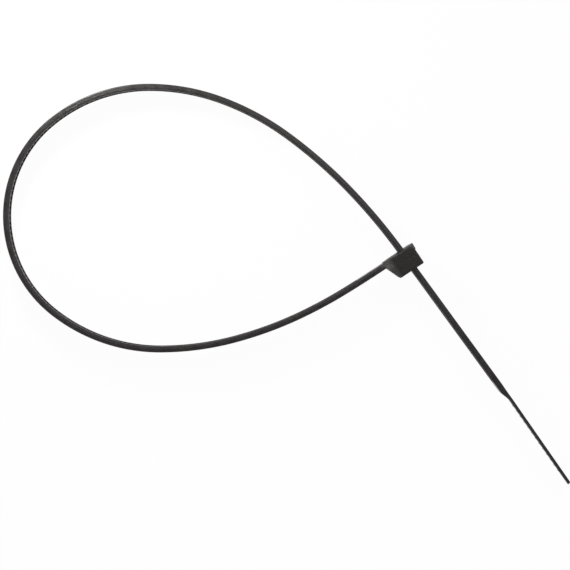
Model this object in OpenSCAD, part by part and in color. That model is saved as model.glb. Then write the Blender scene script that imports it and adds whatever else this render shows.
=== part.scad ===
// Self-locking cable tie, moulded as one piece and drawn closed: the strap goes round a loop and
// through the tie's own head, where the pawl sits between its teeth.
// The tie lies on its side. X and Y span the loop, and Z runs across the strap.

/* [Strap] */
// Width of the strap across the parting line of its edges
strap_w = 4.8; // [4:0.1:6.4]
// Thickness of the strap over its rails
strap_t = 1.37; // [1.25:0.01:1.7]
// Thickness of the web under the teeth
web_t = 0.7; // [0.5:0.01:0.8]
// Width of the rail on each side of the teeth
rail_w = 0.8; // [0.5:0.05:1]
// Draft of the narrow edges, each way from the parting line, in degrees
edge_draft = 3; // [1:0.5:6]
// Chamfer along the edges of the back
back_chamfer = 0.24; // [0.1:0.01:0.3]
// Chamfer along the outer edges of the rails
rail_chamfer = 0.1; // [0.05:0.01:0.15]

/* [Teeth] */
// Distance from one tooth to the next
tooth_pitch = 1.184; // [0.9:0.001:1.5]
// Height of a tooth over its root
tooth_h = 0.52; // [0.3:0.01:0.56]
// Flat on the crest of a tooth
crest = 0.14; // [0.08:0.01:0.25]
// Flat at the root of a tooth
root_flat = 0.12; // [0.06:0.01:0.25]
// Lean of the locking face of a tooth
locking_lean = 0.05; // [0.02:0.01:0.1]
// Length of smooth strap between the head and the first tooth
neck_len = 7; // [4:0.1:12]
// Length over which the track runs out at each end
track_end = 0.6; // [0.4:0.05:1]

/* [Loop] */
// Length of the loop, from the slot of the head to the far side
loop_len = 90.1; // [70:0.1:110]
// Width of the loop, from its lowest to its highest point
loop_wid = 59.9; // [48:0.1:72]
// Height of the loop above the slot
loop_rise = 37.4; // [30:0.1:45]
// Height of the far side's turning point above the slot
far_rise = 8; // [4:0.1:14]
// Where the loop is lowest, as a share of its length
lowest = 0.611; // [0.52:0.001:0.7]
// Where the loop is highest, as a share of its length
highest = 0.639; // [0.52:0.001:0.7]
// Heading of the lower leg, a quarter of the way along, in degrees
lower_lean = 26; // [20:0.5:30]
// Heading of the upper leg, a quarter of the way along, in degrees
upper_lean = 36; // [30:0.5:42]

/* [Head] */
// Turn of the head from the X axis, in degrees
head_turn = 33.7; // [28:0.1:40]
// Length of the head over its outer face
head_len = 6.38; // [5.6:0.01:8]
// Depth of the head, the way the strap is threaded
head_depth = 5.06; // [4.2:0.01:6]
// Width of the head
head_w = 8; // [7.6:0.1:10]
// Length of the slope from the strap's root to the outer face
slope_len = 1.35; // [1.2:0.01:2.4]
// Length of the taper from the strap's width to the head's
taper_len = 2.1; // [1.4:0.1:3]
// Radius of the head's upright corners
corner_r = 0.3; // [0.15:0.01:0.5]
// Radius round the end and along the long edges of the head
edge_r = 0.5; // [0.2:0.05:0.9]
// Step from the strap's root up to the head, on every side
root_step = 0.12; // [0.03:0.01:0.16]
// Height of the gate mark on the end of the head
gate_h = 0.42; // [0.2:0.01:0.6]
// Length of the gate mark
gate_len = 1.75; // [0.8:0.01:2.2]
// Width of the gate mark
gate_w = 1.8; // [1:0.1:3]
// How far the gate mark stands over the bundle face
gate_rise = 0.12; // [0:0.01:0.2]

/* [Slot and pawl] */
// Lean of the slot from square to the head, in degrees
slot_lean = 2.4; // [0:0.1:4]
// Thickness of the wall behind the strap
end_wall = 1.75; // [1.4:0.01:2.2]
// Clearance behind the strap's back
back_clear = 0.12; // [0.08:0.01:0.2]
// Clearance at each edge of the strap
side_clear = 0.25; // [0.15:0.01:0.4]
// Clearance over the rails
rail_clear = 0.16; // [0.1:0.01:0.25]
// Clearance between the teeth of the strap and of the pawl
tooth_clear = 0.09; // [0.06:0.01:0.12]
// Depth of the bundle-side lip that the pawl hangs from
lip = 0.85; // [0.6:0.01:1]
// Thickness of the pawl's hinge
hinge_t = 0.55; // [0.4:0.01:0.7]
// Thickness of the pawl
pawl_t = 1.05; // [0.8:0.01:1.2]
// Gap behind the pawl, where it bends back
pawl_gap = 0.62; // [0.5:0.01:0.8]
// Distance from the bundle face to the first tooth of the pawl
pawl_start = 1.9; // [1.6:0.01:2.2]
// Gap at each side of the pawl
pawl_side = 0.4; // [0.3:0.01:0.6]
// How far the pawl's tip stays inside the outer face
tip_recess = 0.4; // [0.2:0.01:0.8]
// Lead-in chamfer at the mouth of the slot
lead_in = 0.35; // [0.2:0.01:0.5]

/* [Tail] */
// Length of toothed strap beyond the head
free_len = 32.5; // [20:0.1:60]
// Length of the shoulder between the strap and the tail
shoulder_len = 4.9; // [4:0.1:7]
// Length of the tail
tail_len = 23.3; // [15:0.1:40]
// Thickness of the tail
tail_t = 0.7; // [0.5:0.01:0.9]
// Width of the tail at the shoulder
tail_w = 2.9; // [2.4:0.1:3.8]
// Width of the tail at its tip
tip_w = 2.3; // [1.8:0.1:2.4]
// Radius of the tip's corners
tip_r = 0.7; // [0.3:0.05:0.85]
// Step from the strap's back down to the tail's back
tail_step = 0.04; // [0:0.01:0.1]
// Bend of the tail towards the toothed side, in degrees
tail_bend = 1.23; // [0:0.01:3]
// Distance from one grip ridge to the next
grip_pitch = 1.5; // [1.2:0.05:2.5]
// Height of the grip ridges
grip_h = 0.1; // [0.05:0.01:0.2]
// Width of a grip ridge at its foot
grip_foot = 0.5; // [0.4:0.05:0.8]
// Width of a grip ridge at its crest
grip_crest = 0.2; // [0.1:0.05:0.3]
// How far the ridges stay inside the edges of the tail
grip_inset = 0.25; // [0.15:0.05:0.5]
// Length of plain tail before the tip
plain_tip = 2.5; // [1.5:0.1:4]

/* [Smoothness] */
// Largest turn between two stations of the strap, in degrees
step_angle = 3; // [2:0.5:6]
// Stations along the shoulder
shoulder_steps = 14; // [8:1:20]
// Stations round each corner of the tip
tip_steps = 6; // [3:1:8]

/* [Hidden] */
$fn = 48;
// How far a shape reaches into the one it grows from
seat = 0.06;
// How far a cut reaches past a face
past = 1;

// Offsets across the strap, from its centreline towards the inside of the loop
face_a = strap_t / 2;
root_a = web_t - strap_t / 2;
crest_a = root_a + tooth_h;
track_w = strap_w - 2 * rail_w;

// Straight axes of the head: along it from root to end, and from the outer face into the loop
along = [cos(head_turn), sin(head_turn)];
inward = [-sin(head_turn), cos(head_turn)];
slot_heading = head_turn - 90 + slot_lean;
// End of the head, and corner of its outer face, from the slot's mouth
end_x = face_a + back_clear + end_wall + head_depth * tan(slot_lean);
outer_x = end_x - head_len;
root_x = outer_x - slope_len;

function dir(a) = [cos(a), sin(a)];
function left(a) = [-sin(a), cos(a)];
function smooth(x) = let (c = min(max(x, 0), 1)) c * c * (3 - 2 * c);
function blend(a, b, x) = a + (b - a) * x;

// The route is a chain of stretches [start, heading, length, turn], with a turn to the left positive.
// An arc that leaves p at heading a and ends at q
function arc_to(p, a, q) =
    let (chord = norm(q - p), half = atan2(left(a) * (q - p), dir(a) * (q - p)))
    [p, a, abs(half) < 1e-4 ? chord : chord * half * PI / 180 / sin(half), 2 * half];

// The point where two tangent arcs meet between two knots [point, heading]
function meeting(k0, k1) =
    let (
        v = k1[0] - k0[0],
        sum = dir(k0[1]) + dir(k1[1]),
        gap = 2 * (1 - dir(k0[1]) * dir(k1[1])),
        reach = gap < 1e-9
            ? v * v / (4 * v * dir(k1[1]))
            : (sqrt(pow(v * sum, 2) + gap * (v * v)) - v * sum) / gap
    )
    (k0[0] + k1[0] + reach * (dir(k0[1]) - dir(k1[1]))) / 2;

function biarc(k0, k1) =
    let (m = meeting(k0, k1), first = arc_to(k0[0], k0[1], m))
    [first, arc_to(m, k0[1] + first[3], k1[0])];

// Knots of the loop, from the strap's root round to the slot's mouth at [0, 0]. The knots halfway down
// the legs lie at shares of the loop's length and height.
lower_share = [0.244, 0.635];
upper_share = [0.29, 0.709];
fall = loop_rise - loop_wid;
knots = [
    [along * root_x - inward * (face_a + root_step), 180 + head_turn],
    [[-lower_share.x * loop_len, lower_share.y * fall], 180 + lower_lean],
    [[-lowest * loop_len, fall], 180],
    [[-loop_len, far_rise], 90],
    [[-highest * loop_len, loop_rise], 0],
    [[-upper_share.x * loop_len, upper_share.y * loop_rise], -upper_lean],
    [[0, 0], slot_heading]
];
loop = [for (i = [0 : len(knots) - 2]) each biarc(knots[i], knots[i + 1])];
straight_len = head_depth + free_len + shoulder_len;
shoulder_end = straight_len * dir(slot_heading);
route = concat(loop, [
    [[0, 0], slot_heading, straight_len, 0],
    [shoulder_end, slot_heading - tail_bend, tail_len, 0]
]);
starts = [for (i = 0, s = 0; i < len(route); s = s + route[i][2], i = i + 1) s];

// Lengths along the route at which the strap changes
slot_s = starts[len(loop)];
shoulder_s = slot_s + head_depth + free_len;
tail_s = shoulder_s + shoulder_len;
tip_s = tail_s + tail_len;

// Place [point, heading] at length s along the route, before its start too
function stretch_at(s) = max([0, for (i = [0 : len(route) - 1]) if (starts[i] <= s) i]);
function place(s) =
    let (
        e = route[stretch_at(s)],
        run = s - starts[stretch_at(s)],
        half = s < 0 ? 0 : e[3] * run / e[2] / 2,
        chord = abs(half) < 1e-6 ? run : run * sin(half) * 180 / PI / half
    )
    [e[0] + chord * dir(e[1] + half), e[1] + 2 * half];
// Point at length s and offset a towards the inside of the loop
function beside(s, a) = let (p = place(s)) p[0] - a * left(p[1]);

// Shares of the shoulder over which it stays thick, and over which it narrows
thick_share = 0.35;
narrow_share = 0.7;

// Section of the strap at length s, as [offset, height] points from the back round to the back
function down_shoulder(s) = (s - shoulder_s) / shoulder_len;
function inner_a(s) = let (x = (down_shoulder(s) - thick_share) / (1 - thick_share))
    blend(face_a, tail_t - face_a + tail_step, smooth(x));
function outer_a(s) = -face_a + tail_step * smooth(down_shoulder(s));
function half_w(s) =
    let (
        narrow = blend(tail_w, tip_w, max((s - tail_s) / tail_len, 0)),
        to_tip = max(s - tip_s + tip_r, 0)
    )
    blend(strap_w, narrow, smooth(down_shoulder(s) / narrow_share)) / 2
    - tip_r + sqrt(tip_r * tip_r - to_tip * to_tip);
function half_section(s) =
    let (
        in = inner_a(s),
        out = outer_a(s),
        mid = (in + out) / 2,
        w = half_w(s),
        k = (in - out) / strap_t,
        slant = tan(edge_draft),
        chamfer = back_chamfer * k,
        edge = rail_chamfer * k
    )
    [
        [out, w - (mid - out) * slant - chamfer],
        [out + chamfer, w - (mid - out - chamfer) * slant],
        [mid, w],
        [in - edge, w - (in - mid - edge) * slant],
        [in, w - (in - mid) * slant - edge]
    ];
function section(s) =
    let (h = half_section(s), n = len(h))
    concat(h, [for (i = [n - 1 : -1 : 0]) [h[i][0], -h[i][1]]]);

// Stations of the swept strap: inside the head, along the arcs, the shoulder and the round tip
root_run = 0.8;
function steps(i) = max(1, ceil(abs(route[i][3]) / step_angle));
stations = concat(
    [-root_run],
    [for (i = [0 : len(loop) - 1], j = [0 : steps(i) - 1]) starts[i] + j / steps(i) * route[i][2]],
    [slot_s],
    [for (j = [0 : shoulder_steps]) shoulder_s + j / shoulder_steps * shoulder_len],
    [for (j = [0 : tip_steps]) tip_s - tip_r + tip_r * sin(j / tip_steps * 90)]
);

// Sweeps the section through the stations
module swept_strap() {
    n = len(section(0));
    last = (len(stations) - 1) * n;
    polyhedron(
        [for (s = stations, p = section(s)) [beside(s, p[0]).x, beside(s, p[0]).y, p[1]]],
        concat(
            [for (k = [0 : len(stations) - 2], i = [0 : n - 1])
                let (j = (i + 1) % n) [k * n + i, (k + 1) * n + i, (k + 1) * n + j, k * n + j]],
            [[for (i = [0 : n - 1]) i]],
            [[for (i = [n - 1 : -1 : 0]) last + i]]
        ),
        convexity = 10
    );
}

// Teeth, with one locking face where the pawl's first tooth meets it
first_lock = slot_s + pawl_start + tooth_pitch;
teeth_start = first_lock - floor((first_lock - neck_len) / tooth_pitch) * tooth_pitch;
teeth_n = floor((shoulder_s - track_end - teeth_start) / tooth_pitch);
teeth_end = teeth_start + teeth_n * tooth_pitch;

// What is cut out between the rails, down to the teeth. Their locking faces look back to the root.
module track() {
    over_a = face_a + past;
    crests = [for (i = [0 : teeth_n - 1]) teeth_start + i * tooth_pitch];
    linear_extrude(track_w, center = true)
        polygon(concat(
            [beside(teeth_start - track_end - past, over_a), beside(teeth_start - track_end, face_a)],
            [for (s = crests) each [
                beside(s, root_a),
                beside(s + locking_lean, crest_a),
                beside(s + locking_lean + crest, crest_a),
                beside(s + tooth_pitch - root_flat, root_a)
            ]],
            [beside(teeth_end, root_a), beside(teeth_end + track_end, face_a)],
            [beside(teeth_end + track_end + past, over_a)],
            [for (i = [teeth_n : -1 : 0]) beside(teeth_start + i * tooth_pitch, over_a)]
        ));
}

// Low ridges across the toothed side of the tail
module grip_ridges() {
    top = inner_a(tip_s);
    for (s = [tail_s + grip_pitch : grip_pitch : tip_s - plain_tip])
        linear_extrude(2 * (half_w(s) - grip_inset), center = true)
            polygon([
                beside(s - grip_foot / 2, top - seat),
                beside(s - grip_foot / 2, top),
                beside(s - grip_crest / 2, top + grip_h),
                beside(s + grip_crest / 2, top + grip_h),
                beside(s + grip_foot / 2, top),
                beside(s + grip_foot / 2, top - seat)
            ]);
}

// Rectangle with rounded corners, from one corner to the other
module rounded(from, to, r) {
    size = to - from;
    translate(from + [r, 0]) square([size.x - 2 * r, size.y]);
    translate(from + [0, r]) square([size.x, size.y - 2 * r]);
    for (x = [from.x + r, to.x - r], y = [from.y + r, to.y - r])
        translate([x, y]) circle(r);
}

// Outline of the head seen across the strap, in the head's own axes
module head_plan() {
    difference() {
        rounded([root_x, -head_depth], [end_x, 0], corner_r);
        polygon([
            [root_x - past, -strap_t - 2 * root_step],
            [root_x, -strap_t - 2 * root_step],
            [outer_x, -head_depth],
            [outer_x, -head_depth - past],
            [root_x - past, -head_depth - past]
        ]);
    }
    translate([root_x, -strap_t - 2 * root_step]) square([corner_r * 2, strap_t + 2 * root_step]);
}

// Outline of the head seen along the threading direction: it widens from the strap to full width
module head_front() {
    neck_w = strap_w + 2 * root_step;
    wide_x = root_x + taper_len;
    full_x = wide_x + 2 * edge_r;
    polygon([
        [root_x, -neck_w / 2],
        [wide_x, -head_w / 2],
        [full_x, -head_w / 2],
        [full_x, head_w / 2],
        [wide_x, head_w / 2],
        [root_x, neck_w / 2]
    ]);
    rounded([wide_x, -head_w / 2], [end_x, head_w / 2], edge_r);
}

module head_body() {
    intersection() {
        translate([0, 0, -head_w]) linear_extrude(2 * head_w) head_plan();
        rotate([90, 0, 0]) translate([0, 0, -past])
            linear_extrude(head_depth + 2 * past) head_front();
        rotate([90, 0, 90]) translate([0, 0, root_x - past])
            linear_extrude(end_x - root_x + 2 * past)
                rounded([-head_depth, -head_w / 2], [0, head_w / 2], edge_r);
    }
}

// The slot's walls in the strap's own axes: x along the strap from the mouth, y towards the teeth
module slot_axes() { rotate(slot_lean - 90) mirror([0, 1]) children(); }

slot_w = strap_w + 2 * side_clear;
pawl_front = face_a + rail_clear;
pawl_back = pawl_front + pawl_t;
cavity_back = pawl_back + pawl_gap;
pawl_tip = head_depth - tip_recess;
// Lengths over which the pawl and the room behind it widen from the hinge
pawl_taper = 1.1;
cavity_taper = 0.7;
// Room behind the hinge, and chamfers at the front and back of the pawl's tip
hinge_gap = 0.15;
tip_front = 0.15;
tip_back = 0.3;
// The pawl has as many teeth as fit behind its tip
pawl_teeth_len = pawl_tip - tip_front - pawl_start + tooth_clear - locking_lean;
pawl_teeth = max(1, floor(pawl_teeth_len / tooth_pitch));

// Room for the strap and, behind the lip, for the pawl
module slot_room() {
    back = -face_a - back_clear;
    polygon([
        [-past, back - past - lead_in],
        [lead_in, back],
        [head_depth + past, back],
        [head_depth + past, cavity_back],
        [lip + cavity_taper, cavity_back],
        [lip, pawl_front + hinge_t + hinge_gap],
        [lip, pawl_front],
        [lead_in, pawl_front],
        [-past, pawl_front + past + lead_in]
    ]);
}

// The pawl hangs from the lip. Its teeth fill the strap's gaps, less the clearance.
module pawl_plan() {
    polygon([
        [lip - seat, pawl_front],
        [pawl_tip - tip_front, pawl_front],
        [pawl_tip, pawl_front + tip_front],
        [pawl_tip, pawl_back - tip_back],
        [pawl_tip - tip_back, pawl_back],
        [lip + pawl_taper, pawl_back],
        [lip, pawl_front + hinge_t],
        [lip - seat, pawl_front + hinge_t]
    ]);
}
module pawl_tooth_plan(lock) {
    far = lock - tooth_pitch + locking_lean + crest;
    near = lock - tooth_clear;
    tip = root_a + tooth_clear;
    polygon([
        [far, pawl_front + seat],
        [far, crest_a + tooth_clear],
        [near - root_flat, tip],
        [near, tip],
        [near + locking_lean, pawl_front + seat]
    ]);
}

module pawl() {
    linear_extrude(slot_w - 2 * pawl_side, center = true) slot_axes() pawl_plan();
    linear_extrude(track_w - 2 * side_clear, center = true) slot_axes()
        for (i = [1 : pawl_teeth]) pawl_tooth_plan(pawl_start + i * tooth_pitch);
}

// Mark left by the gate, on the end of the head
module gate_mark() {
    translate([end_x - corner_r - seat, gate_rise - gate_len, -gate_w / 2])
        cube([corner_r + seat + gate_h, gate_len, gate_w]);
}

module head() {
    rotate(head_turn) {
        difference() {
            head_body();
            linear_extrude(slot_w, center = true) slot_axes() slot_room();
        }
        pawl();
        gate_mark();
    }
}

// Corners of the plan, which put the origin under the middle of the tie
tip_inner = beside(tip_s, inner_a(tip_s));
tip_outer = beside(tip_s, outer_a(tip_s));
plan_min = [-loop_len - face_a, min(tip_inner.y, tip_outer.y)];
plan_max = [max(tip_inner.x, tip_outer.x), loop_rise + face_a];

module cable_tie() {
    color([0.07, 0.07, 0.07])
        translate([-(plan_min.x + plan_max.x) / 2, -(plan_min.y + plan_max.y) / 2, head_w / 2]) {
            difference() {
                swept_strap();
                track();
            }
            grip_ridges();
            head();
        }
}

cable_tie();
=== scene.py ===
"""A black self-locking cable tie, closed round an empty loop and lying on its side.

The tie is modelled flat, as it leaves its mould, in millimetres: x runs along the strap, y from its back to its
toothed face and z across its width. Its route then bends it round the loop and through the slot of its own
head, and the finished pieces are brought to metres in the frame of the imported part.
"""

import logging
import math
from bisect import bisect_right
from collections.abc import Iterable
from dataclasses import dataclass, field
from enum import Enum
from typing import ClassVar

import bmesh
import bpy
from mathutils import Matrix, Vector, noise


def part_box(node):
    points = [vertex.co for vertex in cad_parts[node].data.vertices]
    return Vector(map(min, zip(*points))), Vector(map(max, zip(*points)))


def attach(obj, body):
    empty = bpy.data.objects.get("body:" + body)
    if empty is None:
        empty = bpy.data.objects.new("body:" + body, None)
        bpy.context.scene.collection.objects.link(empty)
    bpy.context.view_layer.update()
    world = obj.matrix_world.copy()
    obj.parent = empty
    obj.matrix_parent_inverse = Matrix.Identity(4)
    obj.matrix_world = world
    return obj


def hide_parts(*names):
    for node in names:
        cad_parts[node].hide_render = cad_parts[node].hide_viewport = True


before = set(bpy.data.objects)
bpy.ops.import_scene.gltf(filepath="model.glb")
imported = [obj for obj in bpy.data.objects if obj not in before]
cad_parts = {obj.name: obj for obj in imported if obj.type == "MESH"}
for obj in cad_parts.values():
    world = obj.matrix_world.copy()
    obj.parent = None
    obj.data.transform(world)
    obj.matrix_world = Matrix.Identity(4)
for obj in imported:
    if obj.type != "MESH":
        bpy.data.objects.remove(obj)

Mesh, Vert, Edge = bmesh.types.BMesh, bmesh.types.BMVert, bmesh.types.BMEdge
Socket = bpy.types.NodeSocket
Inputs = dict[str | int, object]
LOG = logging.getLogger("cable_tie")
NODE = "cable_tie"
BODY = "root"
MM = 0.001
FLAT = "flat"
WHITE = (1.0, 1.0, 1.0, 1.0)


class Skin(Enum):
    """How the mould leaves a face of the nylon, by the name of its finish."""

    DRAWN = "drawn"
    SPARKED = "sparked"
    TORN = "torn"


def smooth(x: float) -> float:
    """Eases x from 0 to 1, and holds it at either end."""
    x = min(max(x, 0.0), 1.0)
    return x * x * (3 - 2 * x)


def blend(low: float, high: float, share: float) -> float:
    """The value that lies a share of the way from low to high."""
    return low + (high - low) * share


def heading_vector(angle: float) -> Vector:
    """The unit vector in the plan at an angle in radians."""
    return Vector((math.cos(angle), math.sin(angle)))


def left_of(angle: float) -> Vector:
    """The unit vector a quarter turn to the left of an angle in radians."""
    return Vector((-math.sin(angle), math.cos(angle)))


def spread(low: float, high: float, step: float) -> list[float]:
    """Even values from low to high, both included, no more than a step apart.

    Args:
        low: The first value.
        high: The last value.
        step: The largest step between two values.

    Returns:
        The values in order.
    """
    count = max(1, math.ceil((high - low) / step))
    return [blend(low, high, i / count) for i in range(count + 1)]


def quarter(radius: float, turns: Iterable[float]) -> list[tuple[float, float]]:
    """Points of a round corner.

    Args:
        radius: Its radius.
        turns: How far round it each point is, in degrees from 0 to 90.

    Returns:
        How far each point is below the corner's end and inside its start.
    """
    angles = [math.radians(turn) for turn in turns]
    return [(radius * (1 - math.sin(angle)), radius * (1 - math.cos(angle))) for angle in angles]


def only(kind: type, geom: Iterable[object]) -> list:
    """Those of an operator's results that are of one kind."""
    return [item for item in geom if isinstance(item, kind)]


@dataclass(frozen=True)
class NodeTree:
    """Short calls for building a shader tree.

    Attributes:
        tree: The material's or the group's node tree.
    """

    tree: bpy.types.NodeTree

    def feed(self, node: bpy.types.Node, inputs: Inputs) -> None:
        """Links sockets to a node's inputs, or sets the inputs to plain values.

        Args:
            node: The node.
            inputs: The sockets and values, by the inputs' names or numbers.
        """
        for key, value in inputs.items():
            if isinstance(value, Socket):
                self.tree.links.new(value, node.inputs[key])
            else:
                node.inputs[key].default_value = value

    def add(self, kind: str, inputs: Inputs | None = None, **settings: object) -> bpy.types.Node:
        """Adds a node.

        Args:
            kind: Its type.
            inputs: What its inputs are fed.
            settings: Its own settings.

        Returns:
            The node.
        """
        node = self.tree.nodes.new(kind)
        for name, value in settings.items():
            setattr(node, name, value)
        self.feed(node, inputs or {})
        return node

    def math(self, operation: str, first: object, second: object) -> Socket:
        """Adds a Math node and returns its result."""
        return self.add("ShaderNodeMath", {0: first, 1: second}, operation=operation).outputs[0]

    def noise(self, vector: Socket, scale: object, detail: float) -> Socket:
        """Adds a Noise texture and returns its value, about 0.5 on average."""
        return self.add("ShaderNodeTexNoise", {"Vector": vector, "Scale": scale, "Detail": detail}).outputs["Fac"]

    def stretch(self, vector: Socket, scale: tuple[float, float, float]) -> Socket:
        """Scales coordinates axis by axis and returns them."""
        return self.add("ShaderNodeMapping", {"Vector": vector, "Scale": scale}).outputs["Vector"]

    def span(self, value: Socket, old: tuple[float, float], new: tuple[float, float] = (0.0, 1.0)) -> Socket:
        """Maps one range of a value on another, held at both ends, and returns it."""
        inputs = {"Value": value, "From Min": old[0], "From Max": old[1], "To Min": new[0], "To Max": new[1]}
        return self.add("ShaderNodeMapRange", inputs, clamp=True).outputs["Result"]

    def tint(self, share: object, first: object, second: object) -> Socket:
        """Mixes two colours and returns the mix."""
        inputs = {"Factor": share, "A": first, "B": second}
        return self.add("ShaderNodeMix", inputs, data_type="RGBA").outputs["Result"]

    def surface(self, out: bpy.types.Node, share: object, first: object, second: object) -> None:
        """Mixes two shaders and links the mix to an output node."""
        mix = self.add("ShaderNodeMixShader", {0: share, 1: first, 2: second})
        self.feed(out, {"Surface": mix.outputs["Shader"]})


@dataclass(frozen=True)
class SharedEffect:
    """A shader node group that several finishes use.

    Attributes:
        name: The group's name.
        vectors: The names of its vector inputs.
        numbers: The name and first value of each number that it takes.
        results: The names of the numbers that it puts out.
    """

    name: str
    vectors: tuple[str, ...]
    numbers: dict[str, float]
    results: tuple[str, ...]

    def open(self) -> tuple[NodeTree, dict[str, Socket], bpy.types.Node]:
        """Makes the empty group.

        Returns:
            Its tree, what it is given by name, and its output node.
        """
        tree = bpy.data.node_groups.new(self.name, "ShaderNodeTree")
        for name in self.vectors:
            tree.interface.new_socket(name, in_out="INPUT", socket_type="NodeSocketVector")
        for name, value in self.numbers.items():
            tree.interface.new_socket(name, in_out="INPUT", socket_type="NodeSocketFloat").default_value = value
        for name in self.results:
            tree.interface.new_socket(name, in_out="OUTPUT", socket_type="NodeSocketFloat")
        made = NodeTree(tree)
        given = made.add("NodeGroupInput").outputs
        return made, {name: given[name] for name in (*self.vectors, *self.numbers)}, made.add("NodeGroupOutput")


def mould_skin_group() -> bpy.types.NodeTree:
    """The fine relief that a mould leaves: a spark-eroded grain, a slow waviness and lines along the flow.

    Returns:
        The group.
    """
    numbers = {"Grain Scale": 9.0, "Grain": 0.5, "Flow Lines": 0.3, "Waviness": 0.4}
    made, given, out = SharedEffect("mould_skin", ("Vector",), numbers, ("Height", "Patches")).open()
    flow_scale, slow_scale, patch_range = (0.25, 6.0, 6.0), 0.45, (0.35, 0.65)
    vector = given["Vector"]
    grain = made.noise(vector, given["Grain Scale"], detail=4.0)
    flow = made.noise(made.stretch(vector, flow_scale), 1.0, detail=3.0)
    slow = made.noise(vector, slow_scale, detail=2.0)
    height = made.math("MULTIPLY", grain, given["Grain"])
    height = made.math("ADD", height, made.math("MULTIPLY", flow, given["Flow Lines"]))
    height = made.math("ADD", height, made.math("MULTIPLY", slow, given["Waviness"]))
    made.feed(out, {"Height": height, "Patches": made.span(slow, patch_range)})
    return made.tree


def handling_group() -> bpy.types.NodeTree:
    """The little that handling leaves on new nylon: hairline rubs along the strap and specks of dust.

    Returns:
        The group.
    """
    numbers = {"Rubs": 0.5, "Dust": 0.5}
    made, given, out = SharedEffect("handling_marks", ("Vector",), numbers, ("Rub Mask", "Dust Mask")).open()
    rub_scale, line_range = (0.35, 14.0, 14.0), (0.6, 0.72)
    where_scale, where_range = 0.8, (0.45, 0.62)
    dust_scale, speck = 2.2, (0.05, 0.09)
    vector = given["Vector"]
    lines = made.span(made.noise(made.stretch(vector, rub_scale), 1.0, detail=2.0), line_range)
    where = made.span(made.noise(vector, where_scale, detail=2.0), where_range)
    rubs = made.math("MULTIPLY", made.math("MULTIPLY", lines, where), given["Rubs"])
    cells = made.add("ShaderNodeTexVoronoi", {"Vector": vector, "Scale": dust_scale}, feature="F1")
    specks = made.span(cells.outputs["Distance"], speck, (1.0, 0.0))
    made.feed(out, {"Rub Mask": rubs, "Dust Mask": made.math("MULTIPLY", specks, given["Dust"])})
    return made.tree


def painted_highlight_spot_group() -> bpy.types.NodeTree:
    """A painted highlight: a pale spot, for light that a sloped or rounded face catches, that breaks up into specks
    with the distance.

    Returns:
        The group.
    """
    made, given, out = SharedEffect("painted_highlight_spot", ("Vector", "Centre"), {"Reach": 1.0}, ("Mask",)).open()
    speck_scale, lift, edge = 3.6, 0.45, (0.72, 0.92)
    away = made.add("ShaderNodeVectorMath", {0: given["Vector"], 1: given["Centre"]}, operation="DISTANCE")
    share = made.math("DIVIDE", away.outputs["Value"], given["Reach"])
    near = made.span(share, (0.0, 1.0), (lift, 0.0))
    speckle = made.math("ADD", made.noise(given["Vector"], speck_scale, detail=5.0), near)
    made.feed(out, {"Mask": made.span(speckle, edge)})
    return made.tree


@dataclass(frozen=True)
class PaintedHighlightSpot:
    """A painted highlight: a place on a piece where the nylon is speckled pale, for light that a sloped or rounded
    face catches there.

    Attributes:
        centre: Where it is, in millimetres, in the coordinates that the finish reads.
        reach: How far from there it can be seen.
        pale: How pale it is at its middle.
    """

    centre: tuple[float, float, float]
    reach: float
    pale: float


@dataclass(frozen=True)
class Dress:
    """What a piece asks of its material.

    Attributes:
        skin: The kind of its faces.
        follows: Whether the pattern follows the strap, by its flat coordinates, or the object.
        painted_highlights: The painted highlights, places where it is speckled pale for light that its faces catch.
    """

    skin: Skin
    follows: bool = False
    painted_highlights: tuple[PaintedHighlightSpot, ...] = ()


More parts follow.
